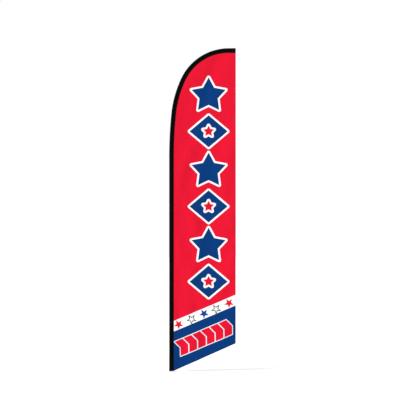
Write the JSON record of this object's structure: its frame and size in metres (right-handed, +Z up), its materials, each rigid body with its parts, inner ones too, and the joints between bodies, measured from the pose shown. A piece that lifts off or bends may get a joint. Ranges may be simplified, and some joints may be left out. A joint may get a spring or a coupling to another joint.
{
  "type": "feather flag",
  "caption": "Tall feather flag: printed cloth on a black sleeve over a jointed pole that bends level at its top and swivels on a spindle socket.",
  "frame": {"origin": "on the pole's axis at the mouth of the socket's bore, in the plane of the flange's underside", "axes": "+Z up along the pole; the flag stands out towards +X; its printed face looks towards -Y"},
  "size_m": [0.754, 0.0405, 3.6645],
  "materials": {
    "socket_steel": "turned, zinc plated",
    "spring_steel": "bright spring steel",
    "acetal": "moulded, satin",
    "washer_plastic": "moulded, satin",
    "tube_aluminium": "drawn, anodised",
    "rivet_aluminium": "bright",
    "glass_fibre": "pultruded, glossy",
    "rod_fibre": "pultruded, glossy",
    "cap_rubber": "moulded",
    "flag_print": "dye-printed knitted polyester",
    "sleeve_cloth": "black woven nylon",
    "webbing": "black polyester webbing",
    "eyelet_brass": "rolled, nickel-free brass"
  },
  "bodies": {
    "socket": {"spindle_socket": "socket_steel", "thrust_washer": "washer_plastic", "retaining_ring": "spring_steel"},
    "pole": {"foot_bush": "acetal", "top_bush": "acetal", "lower_tube": "tube_aluminium", "middle_tube": "tube_aluminium", "upper_tube": "tube_aluminium", "lower_joiner": "tube_aluminium", "upper_joiner": "tube_aluminium", "lower_button_spring": "spring_steel", "upper_button_spring": "spring_steel", "tube_rivets": "rivet_aluminium", "composite_ferrule": "acetal", "composite_tube": "glass_fibre", "tip_ferrule": "acetal", "tip_rod": "rod_fibre", "tip_cap": "cap_rubber", "flag_panel": "flag_print", "pole_sleeve": "sleeve_cloth", "foot_cuff": "sleeve_cloth", "tip_pocket": "sleeve_cloth", "retaining_tab": "webbing", "tab_eyelet": "eyelet_brass"},
    "lower_button": {"lower_button": "spring_steel"},
    "upper_button": {"upper_button": "spring_steel"}
  },
  "joints": [
    {"name": "pole_swivel", "type": "hinge", "parent": "socket", "child": "pole", "pos_m": [0, 0, 0], "axis": [0, 0, 1], "continuous": true},
    {"name": "lower_button_press", "type": "slide", "parent": "pole", "child": "lower_button", "axis": [-1, 0, 0], "range_m": [0, 0.0042], "stiffness_N_per_m": 1500, "springref_m": -0.004, "deforming": ["lower_button_spring"]},
    {"name": "upper_button_press", "type": "slide", "parent": "pole", "child": "upper_button", "axis": [-1, 0, 0], "range_m": [0, 0.0042], "stiffness_N_per_m": 1500, "springref_m": -0.004, "deforming": ["upper_button_spring"]}
  ]
}
